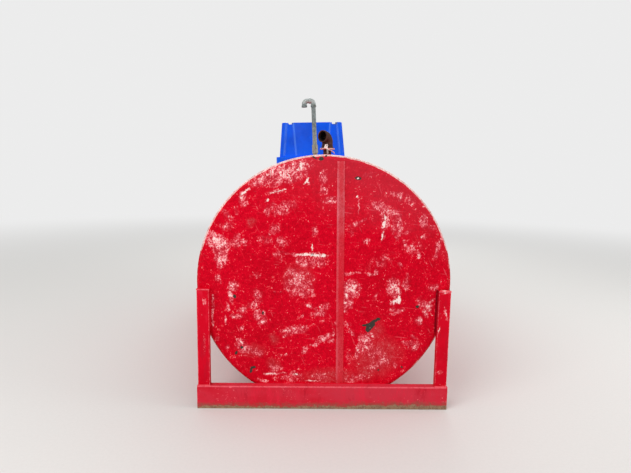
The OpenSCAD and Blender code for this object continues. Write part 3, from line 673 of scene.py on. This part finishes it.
def channel_edge_highlights(plastic):
    """Share of painted highlight along the edges of the upright channels."""
    place = {"Vector": plastic.point, "Location": COVER_MIDDLE, "Rotation": COVER_TURN.to_euler()}
    laid = plastic.node("ShaderNodeMapping", place, vector_type="TEXTURE")
    across, _, height = plastic.axes(laid)
    from_middle = plastic.maths("ABSOLUTE", plastic.maths("ABSOLUTE", across) - CHANNEL_PLACE)
    widening = (CHANNEL_WIDTHS[1] - CHANNEL_WIDTHS[0]) / 2 / COVER_HEIGHT
    line = plastic.near(from_middle, CHANNEL_WIDTHS[0] / 2 + height * widening, 0.002, 0.015)
    foot = (CHANNEL_FOOT - 0.006, CHANNEL_FOOT + 0.004)
    return line * plastic.window(height, foot, (COVER_HEIGHT - 0.008, COVER_HEIGHT - 0.002))


def blue_plastic():
    """Sun-faded blue plastic with scuffs, painted highlights along its channel edges, and darker grey at the
    top ends of its grooves.
    """
    plastic = Finish("blue_plastic", Specular_IOR_Level=0.12)
    clouds = plastic.noise(5.0, 3.0, 0.6)
    grain = plastic.noise(420.0, 2.0, 0.5)
    plastic.colour = plastic.mix(linear(0, 76, 214), picked("plastic"), plastic.step(clouds, 0.3, 0.6))
    low = 1 - plastic.step(plastic.z, CROWN + 0.02, CROWN + 0.22)
    plastic.lay(linear(0, 98, 244), low * 0.6)
    scuffs = plastic.noise(26.0, 5.0, 0.75, stretch=(1.0, 1.0, 0.3))
    plastic.lay(linear(70, 140, 250), scuffs, 0.6, 0.76, 0.0, 0.4)
    # Painted highlight along the channel edges, broken up by the scuff noise
    plastic.lay(linear(96, 156, 252), channel_edge_highlights(plastic) * plastic.step(scuffs, 0.3, 0.6, 0.2, 0.6))
    # Darker grey at the top ends of the grooves, mottled by noise
    groove_mottle = plastic.noise(30.0, 4.0, 0.7)
    top = plastic.step(plastic.z + (groove_mottle - 0.5) * 0.03, COVER_HIGH.z - 0.035, COVER_HIGH.z - 0.014)
    left, right = (plastic.near(plastic.x, middle, 0.012, 0.032) for middle in GROOVE_DARK_SPOTS)
    groove_darkening = plastic.maths("MAXIMUM", left, right) * top
    plastic.lay(linear(96, 104, 96), groove_darkening * plastic.step(groove_mottle, 0.35, 0.6, 0.3, 0.9))
    roughness = plastic.step(scuffs, 0.4, 0.7, 0.36, 0.6)
    return plastic.finish(roughness, height=grain, depth=0.0003)


def give(material, *nodes):
    """Puts a material into every slot of the named CAD nodes."""
    for node in nodes:
        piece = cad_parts[node]
        piece.data.materials.clear()
        piece.data.materials.append(material)


def edit():
    """Goes into edit mode."""
    bpy.ops.object.mode_set(mode="EDIT")


def leave():
    """Goes back to object mode."""
    bpy.ops.object.mode_set(mode="OBJECT")


def freeze():
    """Puts the place of the selected piece into its mesh."""
    bpy.ops.object.transform_apply(location=True, rotation=True, scale=True)


def start(name, add, **settings):
    """Adds a primitive with nothing else selected, at its full size."""
    bpy.ops.object.select_all(action="DESELECT")
    add(**settings)
    piece = bpy.context.active_object
    piece.name = piece.data.name = name
    freeze()
    return piece


def block(name, middle, size):
    """Adds a box of a size with its middle at a place."""
    return start(name, bpy.ops.mesh.primitive_cube_add, size=1.0, location=middle, scale=size)


def rod(name, middle, radius, length, vertices, **more):
    """Adds a cylinder with its middle at a place, upright unless it is given a rotation."""
    more.update(location=middle, radius=radius, depth=length, vertices=vertices)
    return start(name, bpy.ops.mesh.primitive_cylinder_add, **more)


def only(piece):
    """Makes a piece the only selected one."""
    bpy.ops.object.select_all(action="DESELECT")
    piece.select_set(True)
    bpy.context.view_layer.objects.active = piece


def pick(piece, kind, test):
    """In edit mode, selects the vertices, edges or faces that pass a test."""
    bpy.ops.mesh.select_all(action="DESELECT")
    bpy.ops.mesh.select_mode(type={"verts": "VERT", "edges": "EDGE", "faces": "FACE"}[kind])
    shape = bmesh.from_edit_mesh(piece.data)
    for part in getattr(shape, kind):
        part.select_set(bool(test(part)))
    shape.select_flush_mode()
    bmesh.update_edit_mesh(piece.data)


def pick_long_edges(piece, along, length):
    """In edit mode, selects the edges that reach further than a length in a direction."""
    pick(piece, "edges", lambda edge: abs((edge.verts[0].co - edge.verts[1].co).dot(along)) > length)


def settle(piece, material, smooth=35.0):
    """Puts a finished piece's place into its mesh, and gives it its material and body."""
    only(piece)
    freeze()
    bpy.ops.object.shade_smooth_by_angle(angle=math.radians(smooth))
    piece.data.materials.clear()
    piece.data.materials.append(material)
    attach(piece, BODY)


def apply(piece, kind, **settings):
    """Adds a modifier and applies it."""
    only(piece)
    modifier = piece.modifiers.new("step", kind)
    for setting, value in settings.items():
        setattr(modifier, setting, value)
    bpy.ops.object.modifier_apply(modifier=modifier.name)


def join(name, pieces):
    """Joins pieces into one under a new name."""
    only(pieces[0])
    for piece in pieces[1:]:
        piece.select_set(True)
    bpy.ops.object.join()
    joined = bpy.context.active_object
    joined.name = joined.data.name = name
    return joined


def copied(piece, place):
    """A copy of a piece with its own mesh, moved by a matrix."""
    twin = piece.copy()
    twin.data = piece.data.copy()
    bpy.context.scene.collection.objects.link(twin)
    twin.matrix_world = place
    only(twin)
    freeze()
    return twin


def cut(piece, cutter, **settings):
    """Takes a cutter out of a piece, and removes the cutter."""
    apply(piece, "BOOLEAN", operation="DIFFERENCE", solver="EXACT", object=cutter, **settings)
    bpy.data.objects.remove(cutter)


def lumpy(piece, size, reach):
    """Gives a bead the uneven surface of hand welding."""
    lumps = bpy.data.textures.new("weld_lumps", "CLOUDS")
    lumps.noise_scale = size
    apply(piece, "DISPLACE", texture=lumps, texture_coords="GLOBAL", strength=reach, mid_level=0.6)


def straight_bead(begin, end, radius):
    """Straight fillet bead from one point to another, with its ends drawn in."""
    begin, end = Vector(begin), Vector(end)
    run = end - begin
    turn = run.to_track_quat("Z", "Y").to_euler()
    bead = rod("bead", (begin + end) / 2, radius, run.length, 8, rotation=turn)
    along = run.normalized()
    edit()
    pick_long_edges(bead, along, run.length / 2)
    bpy.ops.mesh.subdivide(number_cuts=max(2, round(run.length / sizes().weld_pitch)))
    for tip in (begin, end):
        pick(bead, "verts", lambda corner: abs((corner.co - tip).dot(along)) < radius * 0.2)
        bpy.ops.transform.resize(value=(0.45, 0.45, 0.45))
    leave()
    lumpy(bead, radius * 1.1, radius * 0.7)
    return bead


def ring_bead(name, middle, ring, radius):
    """Bead round an upright pipe where it meets the tank, following the shell's curve."""
    bead = start(
        name,
        bpy.ops.mesh.primitive_torus_add,
        location=middle,
        major_radius=ring,
        minor_radius=radius,
        major_segments=72,
        minor_segments=8,
    )
    for corner in bead.data.vertices:
        corner.co.z -= RADIUS - math.sqrt(RADIUS**2 - corner.co.x**2)
    lumpy(bead, radius * 1.2, radius * 0.7)
    return bead


def sizes():
    """The sizes, as the panel has them."""
    return bpy.context.scene.tank_sizes


class TankSizes(bpy.types.PropertyGroup):
    """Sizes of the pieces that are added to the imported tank"""

    frame_weld: bpy.props.FloatProperty(
        name="Frame weld", description="Radius of the beads on the frames", default=0.005, unit="LENGTH"
    )
    bung_weld: bpy.props.FloatProperty(
        name="Bung weld", description="Radius of the beads round the bungs", default=0.0055, unit="LENGTH"
    )
    weld_pitch: bpy.props.FloatProperty(
        name="Weld pitch", description="Distance between the ripples of a bead", default=0.006, unit="LENGTH"
    )
    thread_pitch: bpy.props.FloatProperty(
        name="Thread pitch", description="Distance between turns of a thread", default=0.0022, unit="LENGTH"
    )
    cover_wall: bpy.props.FloatProperty(
        name="Cover wall", description="Wall of the plastic cover", default=0.004, unit="LENGTH"
    )
    cover_edge: bpy.props.FloatProperty(
        name="Cover edge", description="Rounding of the cover's edges", default=0.005, unit="LENGTH"
    )


class TankColours(bpy.types.PropertyGroup):
    """Main colours of the tank"""

    red: bpy.props.FloatVectorProperty(
        name="Red", description="Red of the paint", subtype="COLOR", size=4, default=linear(217, 0, 33)
    )
    plastic: bpy.props.FloatVectorProperty(
        name="Plastic", description="Blue of the cover", subtype="COLOR", size=4, default=linear(0, 88, 236)
    )
    zinc: bpy.props.FloatVectorProperty(
        name="Zinc", description="Grey of the vent", subtype="COLOR", size=4, default=linear(96, 108, 108)
    )
    iron: bpy.props.FloatVectorProperty(
        name="Iron", description="Brown of the elbow", subtype="COLOR", size=4, default=linear(70, 44, 38)
    )


def marks_near(side):
    """Rows of the four tables for the plate on one side of the front head's seam."""
    tables = (HEAD_WEAR, HEAD_CHIPS, HEAD_FLAKES, HEAD_STAINS)
    return [[row for row in rows if (row[0] / 1000 - STRAP_X) * side > -MARK_OVERLAP] for rows in tables]


class TANK_OT_red_paint(bpy.types.Operator):
    """Paints the shell, the heads and the frames in worn red"""

    bl_idname = "tank.red_paint"
    bl_label = "Red paint"

    def execute(self, context):
        wide = worn_paint("red_paint_front_wide", marks_near(-1), rim=True)
        narrow = worn_paint("red_paint_front_narrow", marks_near(1), rim=True)
        rear = worn_paint("red_paint_rear_head", base_wear=0.14, drift_wear=0.42, rim=True)
        shell = worn_paint("red_paint_shell", base_wear=0.08, drift_wear=0.3, faded=0.22, earth=(0.10, 0.6))
        beam = frame_paint("red_paint_beam", -BEAM_LOW.y, haze=0.7)
        post = frame_paint("red_paint_post", -POST_LOW.y, haze=0.05, scars=POST_SCARS)
        give(wide, "front_head_wide_plate", "front_edge_weld")
        give(narrow, "front_head_narrow_plate")
        give(rear, "rear_head_wide_plate", "rear_head_narrow_plate", "rear_edge_weld")
        give(shell, *("shell_course_" + place for place in ("front", "middle", "rear")))
        give(shell, *(place + "_course_seam" for place in ("front", "middle", "rear")))
        give(shell, "front_girth_weld", "rear_girth_weld", "vent_bung", "fill_bung")
        give(strap_paint("red_paint_strap"), "front_head_strap", "rear_head_strap")
        give(beam, "front_beam", "rear_beam")
        give(post, "front_left_post", "front_right_post", "rear_left_post", "rear_right_post")
        return {"FINISHED"}


class TANK_OT_frame_welds(bpy.types.Operator):
    """Adds the fillet beads that hold the posts and the beams"""

    bl_idname = "tank.frame_welds"
    bl_label = "Frame welds"

    def execute(self, context):
        radius = sizes().frame_weld
        foot = BEAM_HIGH.z
        half_reach = math.sqrt(HEAD_FLAT**2 - (AXIS_HEIGHT - foot) ** 2)
        touch_low = AXIS_HEIGHT - math.sqrt(HEAD_FLAT**2 - POST_HALF_IN**2)
        for end, out in (("front", 1.0), ("rear", -1.0)):
            head, web = HEAD_FACE * out, POST_LOW.y * out
            beads = [straight_bead((-half_reach, head, foot), (half_reach, head, foot), radius)]
            for side in (-1.0, 1.0):
                inner, outer = side * POST_HALF_IN, side * POST_HALF_OUT
                beads.append(straight_bead((inner, web, foot), (outer, web, foot), radius))
                beads.append(straight_bead((inner, web, foot), (inner, head, foot), radius * 0.8))
                beads.append(straight_bead((inner, head, touch_low), (inner, head, POST_HIGH.z), radius))
            welds = join(end + "_frame_welds", beads)
            settle(welds, bpy.data.materials["red_paint_post"])
        return {"FINISHED"}


class TANK_OT_bung_welds(bpy.types.Operator):
    """Adds the beads round the two bungs on the crown"""

    bl_idname = "tank.bung_welds"
    bl_label = "Bung welds"

    def execute(self, context):
        for name in ("vent", "fill"):
            low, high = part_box(name + "_bung")
            middle = Vector(((low.x + high.x) / 2, (low.y + high.y) / 2, CROWN))
            bead = ring_bead(name + "_bung_weld", middle, (high.y - low.y) / 2, sizes().bung_weld)
            settle(bead, bpy.data.materials["red_paint_shell"])
        return {"FINISHED"}


def thread_rings(name, foot, lean, radius, length):
    """Turns of a pipe thread on a pipe that stands at a foot and leans to the left by an angle."""
    pitch = sizes().thread_pitch
    ring = rod(name, (0.0, 0.0, pitch / 2), radius, pitch, 40, end_fill_type="NOTHING")
    edit()
    pick_long_edges(ring, UP, pitch / 2)
    bpy.ops.mesh.subdivide(number_cuts=1)
    pick(ring, "verts", lambda corner: abs(corner.co.z - pitch / 2) < pitch / 4)
    bpy.ops.transform.resize(value=(1.05, 1.05, 1.0))
    leave()
    apply(
        ring,
        "ARRAY",
        count=max(2, round(length / pitch)),
        use_relative_offset=False,
        use_constant_offset=True,
        constant_offset_displace=(0.0, 0.0, pitch),
        use_merge_vertices=True,
    )
    apply(ring, "SOLIDIFY", thickness=0.0006, offset=-1.0)
    ring.matrix_world = Matrix.Translation(foot) @ Matrix.Rotation(-lean, 4, "Y")
    only(ring)
    freeze()
    return ring


class TANK_OT_vent(bpy.types.Operator):
    """Gives the gooseneck vent its dull galvanised steel and its threads"""

    bl_idname = "tank.vent"
    bl_label = "Vent"

    def execute(self, context):
        zinc = galvanised_steel()
        give(zinc, "vent_nipple", "vent_coupling", "vent_pipe", "vent_elbow", "vent_return_elbow")
        rise = Vector((-math.sin(VENT_LEAN), 0.0, math.cos(VENT_LEAN)))
        foot = Vector((VENT_X, VENT_Y, CROWN))
        turns = [
            thread_rings("vent_threads", foot + rise * height, VENT_LEAN, VENT_PIPE_RADIUS, length)
            for height, length in VENT_THREADS
        ]
        settle(join("vent_threads", turns), zinc, 25.0)
        return {"FINISHED"}


def clip_bar(middle, size, rounding):
    """Thin upright bar of the bent clip with its corners rounded off, left in edit mode."""
    bar = block("fill_clip", middle, size)
    edit()
    pick_long_edges(bar, Vector((0.0, 1.0, 0.0)), size[1] / 2)
    bpy.ops.mesh.bevel(offset=rounding, segments=3, affect="EDGES")
    return bar


def clip_lug():
    """Lug that stands on the flange's front edge, with its top folded back."""
    x, z = FLANGE_MIDDLE.x - 0.014, FLANGE_HIGH.z
    lug = clip_bar((x, CLIP_FRONT, z + 0.012), (0.026, CLIP_WALL, 0.032), 0.005)
    pick(lug, "verts", lambda corner: corner.co.z > z + 0.022)
    bpy.ops.transform.translate(value=(0.003, 0.005, 0.001))
    pick(lug, "verts", lambda corner: corner.co.z > z + 0.022 and corner.co.x < x)
    bpy.ops.transform.translate(value=(0.004, 0.0, -0.004))
    leave()
    return lug


def clip_tongue():
    """Tongue that hangs from the flange's front edge and turns outwards at its tip."""
    x, low, high = FLANGE_MIDDLE.x - 0.0025, CROWN + 0.028, FLANGE_HIGH.z
    tongue = clip_bar((x, CLIP_FRONT, (low + high) / 2), (0.011, CLIP_WALL, high - low), 0.003)
    pick(tongue, "verts", lambda corner: corner.co.z < low + 0.012)
    bpy.ops.transform.translate(value=(0.002, -0.004, 0.0))
    leave()
    return tongue


def clip_strap():
    """Strap that runs down from the lug round the right of the flange."""
    steps, reach, drop = 10, math.radians(78.0), 0.030
    begin = (FLANGE_MIDDLE.x - 0.004, CLIP_FRONT, FLANGE_LOW.z + 0.002)
    strap = clip_bar(begin, (0.006, CLIP_WALL, 0.009), 0.001)
    pick(strap, "faces", lambda face: face.normal.x > 0.9)
    for _ in range(steps):
        bpy.ops.mesh.extrude_region_move(TRANSFORM_OT_translate={"value": (0.0, 0.0, -drop / steps)})
        bpy.ops.transform.rotate(value=-reach / steps, orient_axis="Z", center_override=FLANGE_MIDDLE)
    bpy.ops.mesh.select_all(action="SELECT")
    bpy.ops.mesh.normals_make_consistent(inside=False)
    leave()
    return strap


class TANK_OT_fill(bpy.types.Operator):
    """Gives the fill elbow its rust, the flange its chipped paint, and adds its threads and bent clip"""

    bl_idname = "tank.fill"
    bl_label = "Fill"

    def execute(self, context):
        rust = rusty_iron()
        give(rust, "fill_elbow", "fill_neck")
        give(chipped_paint(), "fill_flange")
        foot = Vector((FLANGE_MIDDLE.x, FLANGE_MIDDLE.y, FLANGE_LOW.z - 0.014))
        turns = thread_rings("fill_threads", foot, 0.0, FILL_NECK_RADIUS, 0.013)
        settle(turns, rust, 25.0)
        clip = join("fill_clip", [clip_lug(), clip_tongue(), clip_strap()])
        settle(clip, weathered_clip(), 40.0)
        return {"FINISHED"}


def tapered_tub(name, width, length, height, rounding, flare):
    """Closed upright box on z = 0 with rounded upright corners, narrower at its top."""
    tub = block(name, (0.0, 0.0, height / 2), (width, length, height))
    edit()
    pick_long_edges(tub, UP, height / 2)
    bpy.ops.mesh.bevel(offset=rounding, segments=8, affect="EDGES")
    pick(tub, "verts", lambda corner: corner.co.z > height / 2)
    bpy.ops.transform.resize(value=(1.0 - 2 * flare / width, 1.0 - 2 * flare / length, 1.0))
    leave()
    return tub


def channel_width(height):
    """Width of an upright channel at a height above the cover's rim."""
    return CHANNEL_WIDTHS[0] + (CHANNEL_WIDTHS[1] - CHANNEL_WIDTHS[0]) * height / COVER_HEIGHT


def channel_cutter():
    """Block for one upright channel of the cover's front, with its floor parallel to the leaning wall."""
    low, high = CHANNEL_FOOT, COVER_HEIGHT + 0.02
    width, thickness = channel_width(low), 0.1
    floor = -COVER_RIM[1] / 2 + COVER_SLOPE * low + CHANNEL_DEPTH
    cutter = block("cutter", (0.0, floor - thickness / 2, (low + high) / 2), (width, thickness, high - low))
    edit()
    pick(cutter, "verts", lambda corner: corner.co.z > (low + high) / 2)
    bpy.ops.transform.resize(value=(channel_width(high) / width, 1.0, 1.0))
    bpy.ops.transform.translate(value=(0.0, COVER_SLOPE * (high - low), 0.0))
    leave()
    return cutter


def into_wall(piece, rounding):
    """Rounds the edges of an open shape and gives it the cover's wall."""
    angle = math.radians(30)
    apply(piece, "BEVEL", width=rounding, segments=3, limit_method="ANGLE", angle_limit=angle)
    apply(piece, "SOLIDIFY", thickness=sizes().cover_wall, offset=-1.0)
    return piece


def cover_walls():
    """Tapered walls and closed top of the cover, with its channels and grooves cut in."""
    tub = tapered_tub("blue_cover", *COVER_RIM, COVER_HEIGHT, COVER_CORNER, COVER_FLARE)
    cutter = channel_cutter()
    for turn in (0.0, math.pi):
        for side in (-1.0, 1.0):
            shift = Matrix.Translation((side * CHANNEL_PLACE, 0.0, 0.0))
            cut(tub, copied(cutter, Matrix.Rotation(turn, 4, "Z") @ shift))
    bpy.data.objects.remove(cutter)
    width, depth = GROOVE
    for side in (-1.0, 1.0):
        cut(tub, block("cutter", (side * CHANNEL_PLACE, 0.0, COVER_HEIGHT), (width, 2.0, 2 * depth)))
    only(tub)
    edit()
    pick(tub, "faces", lambda face: face.normal.z < -0.9 and face.calc_center_median().z < 0.001)
    bpy.ops.mesh.delete(type="FACE")
    leave()
    return into_wall(tub, sizes().cover_edge)


def cover_lip():
    """Flat lip round the cover's foot with its down-turned skirt."""
    outer = [side + 2 * LIP_REACH for side in COVER_RIM]
    lip = tapered_tub("lip", *outer, LIP_HEIGHT, COVER_CORNER + LIP_REACH, 0.0)
    edit()
    pick(lip, "faces", lambda face: face.normal.z < -0.9)
    bpy.ops.mesh.delete(type="FACE")
    pick(lip, "faces", lambda face: face.normal.z > 0.9)
    inward = LIP_REACH + COVER_SLOPE * LIP_HEIGHT + sizes().cover_wall * 0.4
    bpy.ops.mesh.inset(thickness=inward, depth=0.0)
    bpy.ops.mesh.delete(type="FACE")
    leave()
    return into_wall(lip, LIP_EDGE)


def gusset():
    """Thin gusset that stands from the front wall out to the lip's skirt, at the middle of the side."""
    wall = sizes().cover_wall
    near = -COVER_RIM[1] / 2 - LIP_REACH + wall / 2
    depth = LIP_REACH + wall
    middle = (0.0, near + depth / 2, LIP_HEIGHT / 2 - wall / 2)
    web = block("gusset", middle, (GUSSET_WALL, depth, LIP_HEIGHT - wall * 1.5))
    edit()
    pick(web, "verts", lambda corner: corner.co.y < near + depth / 2 and corner.co.z < LIP_HEIGHT / 2)
    bpy.ops.transform.translate(value=(0.0, 0.0, 0.012))
    leave()
    return web


def gussets_round():
    """Evenly spaced gussets along all four sides of the cover."""
    webs = []
    for size, across, turn in ((COVER_TOP[0], 0.0, 0.0), (COVER_TOP[1], 1.0, 90.0)):
        web = gusset()
        shift = across * (COVER_RIM[1] - COVER_RIM[0]) / 2
        for half in (0.0, 180.0):
            for step in range(GUSSETS):
                along = ((step + 0.5) / GUSSETS - 0.5) * size
                turned = Matrix.Rotation(math.radians(turn + half), 4, "Z")
                webs.append(copied(web, turned @ Matrix.Translation((along, shift, 0.0))))
        bpy.data.objects.remove(web)
    return webs


class TANK_OT_cover(bpy.types.Operator):
    """Models the upturned plastic tub with its channels, grooves and lip, cut to the tank's curve"""

    bl_idname = "tank.cover"
    bl_label = "Cover"

    def execute(self, context):
        cover = join("blue_cover", [cover_walls(), cover_lip()] + gussets_round())
        cover.matrix_world = COVER_PLACE
        only(cover)
        freeze()
        middle = (0.0, COVER_MIDDLE.y, AXIS_HEIGHT)
        tank = rod("cutter", middle, RADIUS + COVER_CLEARANCE, 2.0, 360, rotation=(math.pi / 2, 0.0, 0.0))
        cut(cover, tank, use_self=True)
        settle(cover, blue_plastic(), 40.0)
        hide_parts("plastic_cover")
        return {"FINISHED"}


def hang(name, data, place, turn):
    """Adds a camera or a lamp at a place, turned by a matrix."""
    holder = bpy.data.objects.new(name, data)
    bpy.context.scene.collection.objects.link(holder)
    holder.matrix_world = Matrix.Translation(place) @ turn
    return holder


def photo_camera():
    """Camera that stands and looks as the photo's did."""
    camera = bpy.data.cameras.new("camera")
    camera.sensor_width = SENSOR
    camera.sensor_fit = "HORIZONTAL"
    camera.lens = SENSOR * FOCAL_PIXELS / PICTURE_WIDTH
    camera.clip_start, camera.clip_end = 0.05, 200.0
    cos_turn, sin_turn = math.cos(CAMERA_TURN), math.sin(CAMERA_TURN)
    cos_pitch, sin_pitch = math.cos(CAMERA_PITCH), math.sin(CAMERA_PITCH)
    ahead = Vector((-sin_turn * cos_pitch, cos_turn * cos_pitch, -sin_pitch))
    level = Vector((cos_turn, sin_turn, 0.0))
    upright = level.cross(ahead)
    right = level * math.cos(CAMERA_ROLL) + upright * math.sin(CAMERA_ROLL)
    up = upright * math.cos(CAMERA_ROLL) - level * math.sin(CAMERA_ROLL)
    turn = Matrix((right, up, -ahead)).transposed().to_4x4()
    bpy.context.scene.camera = hang("camera", camera, CAMERA_PLACE, turn)


def soft_light():
    """Even light from the whole sky, a little paler where the camera sees it, and three large lamps."""
    world = bpy.data.worlds.new("world")
    bpy.context.scene.world = world
    world.use_nodes = True
    background = world.node_tree.nodes["Background"]
    background.inputs["Color"].default_value = (1.0, 1.0, 1.0, 1.0)
    path = world.node_tree.nodes.new("ShaderNodeLightPath")
    seen = world.node_tree.nodes.new("ShaderNodeMapRange")
    seen.inputs["To Min"].default_value = SKY_LIGHT
    seen.inputs["To Max"].default_value = BACKDROP
    world.node_tree.links.new(path.outputs["Is Camera Ray"], seen.inputs["Value"])
    world.node_tree.links.new(seen.outputs[0], background.inputs["Strength"])
    for name, place, size, power in LAMPS:
        lamp = bpy.data.lights.new(name, "AREA")
        lamp.size = size
        lamp.energy = power
        aim = Vector((0.0, 0.0, 0.9)) - Vector(place)
        hang(name, lamp, place, aim.to_track_quat("-Z", "Y").to_matrix().to_4x4())


def pale_floor():
    """Floor that fades into the backdrop away from the tank, where the camera sees it."""
    bpy.ops.object.select_all(action="DESELECT")
    bpy.ops.mesh.primitive_grid_add(x_subdivisions=8, y_subdivisions=8, size=60.0)
    floor = bpy.context.active_object
    floor.name = "floor"
    slab = Finish("pale_floor", Roughness=0.9)
    slab.colour = slab.mix(linear(214, 213, 210), linear(222, 221, 218), slab.noise(60.0, 4.0, 0.6))
    slab.finish()
    away = slab.vector("LENGTH", slab.point, out="Value")
    seen = slab.node("ShaderNodeLightPath", out="Is Camera Ray")
    grey = (BACKDROP, BACKDROP, BACKDROP, 1.0)
    backdrop = slab.node("ShaderNodeEmission", {"Color": grey, "Strength": 1.0})
    blend = slab.node("ShaderNodeMixShader", {0: slab.step(away, 3.0, 14.0) * seen})
    slab.tree.links.new(slab.shader.outputs[0], blend.socket.node.inputs[1])
    slab.tree.links.new(backdrop.socket, blend.socket.node.inputs[2])
    slab.tree.links.new(blend.socket, slab.surface.inputs["Surface"])
    floor.data.materials.append(slab.material)


class TANK_OT_stage(bpy.types.Operator):
    """Sets up the camera, the soft studio light and the pale floor"""

    bl_idname = "tank.stage"
    bl_label = "Stage"

    def execute(self, context):
        context.scene.view_settings.view_transform = "Standard"
        photo_camera()
        soft_light()
        pale_floor()
        return {"FINISHED"}


class TANK_PT_panel(bpy.types.Panel):
    """Buttons for each group of pieces"""

    bl_label = "Storage tank"
    bl_idname = "TANK_PT_panel"
    bl_space_type = "VIEW_3D"
    bl_region_type = "UI"
    bl_category = "Tank"

    def draw(self, context):
        for step in STEPS:
            self.layout.operator(step.bl_idname)


STEPS = (
    TANK_OT_stage,
    TANK_OT_red_paint,
    TANK_OT_frame_welds,
    TANK_OT_bung_welds,
    TANK_OT_vent,
    TANK_OT_fill,
    TANK_OT_cover,
)
GROUPS = (TankSizes, TankColours)


def register():
    for part in GROUPS + STEPS + (TANK_PT_panel,):
        bpy.utils.register_class(part)
    bpy.types.Scene.tank_sizes = bpy.props.PointerProperty(type=TankSizes)
    bpy.types.Scene.tank_colours = bpy.props.PointerProperty(type=TankColours)


def unregister():
    del bpy.types.Scene.tank_sizes
    del bpy.types.Scene.tank_colours
    for part in reversed(GROUPS + STEPS + (TANK_PT_panel,)):
        bpy.utils.unregister_class(part)


def main():
    register()
    bpy.ops.tank.stage()
    bpy.ops.tank.red_paint()
    bpy.ops.tank.frame_welds()
    bpy.ops.tank.bung_welds()
    bpy.ops.tank.vent()
    bpy.ops.tank.fill()
    bpy.ops.tank.cover()


if __name__ == "__main__":
    main()
